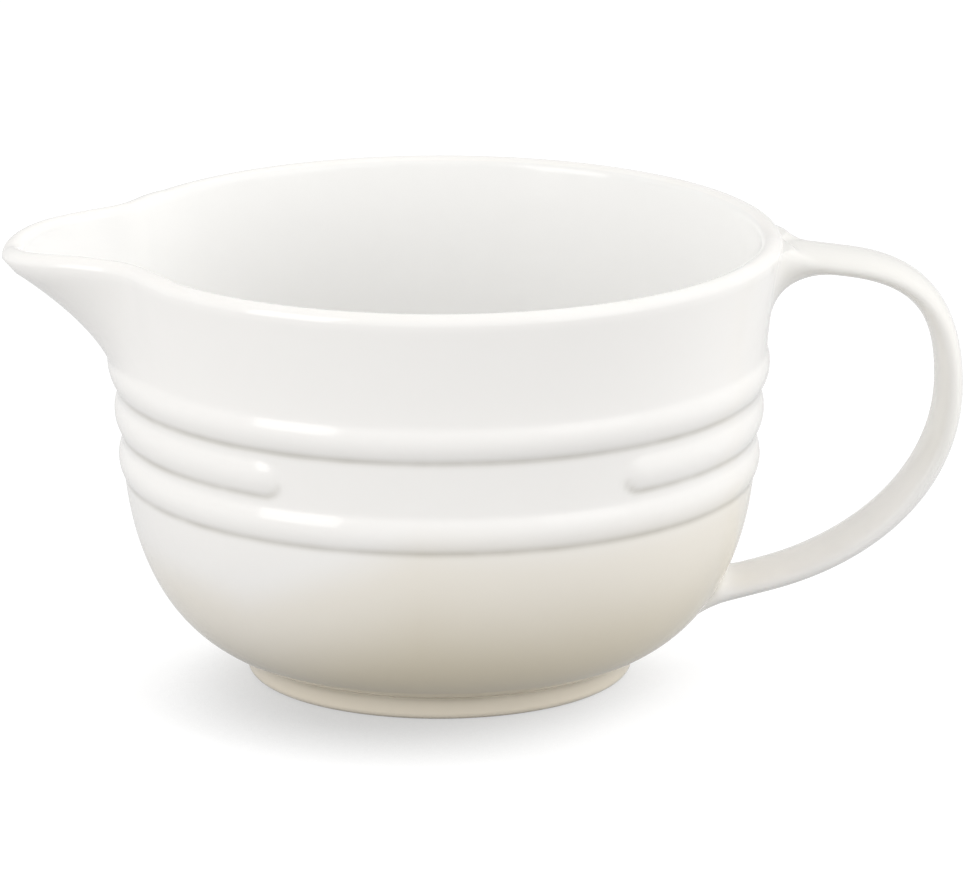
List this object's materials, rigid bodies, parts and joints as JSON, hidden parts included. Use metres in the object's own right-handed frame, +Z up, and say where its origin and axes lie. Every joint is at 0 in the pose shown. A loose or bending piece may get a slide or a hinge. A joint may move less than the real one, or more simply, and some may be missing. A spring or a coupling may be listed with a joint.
{
  "type": "batter bowl",
  "caption": "Deep stoneware mixing bowl with raised bands, a bare flat panel, a drawn pouring spout opposite a strap handle, and a foot ring.",
  "frame": {"origin": "middle of the foot ring's lower face, on the bowl's axis", "axes": "+Z up along the bowl's axis, +X towards the handle, -X towards the spout, -Y towards the flat panel"},
  "size_m": [0.2866, 0.2044, 0.1348],
  "materials": {
    "glaze": "gloss",
    "cream_glaze": "gloss"
  },
  "bodies": {
    "root": {"bowl_body": "glaze", "pouring_spout": "glaze", "handle": "glaze", "upper_handle_joint": "glaze", "lower_handle_joint": "glaze", "foot_ring": "cream_glaze"}
  },
  "joints": []
}
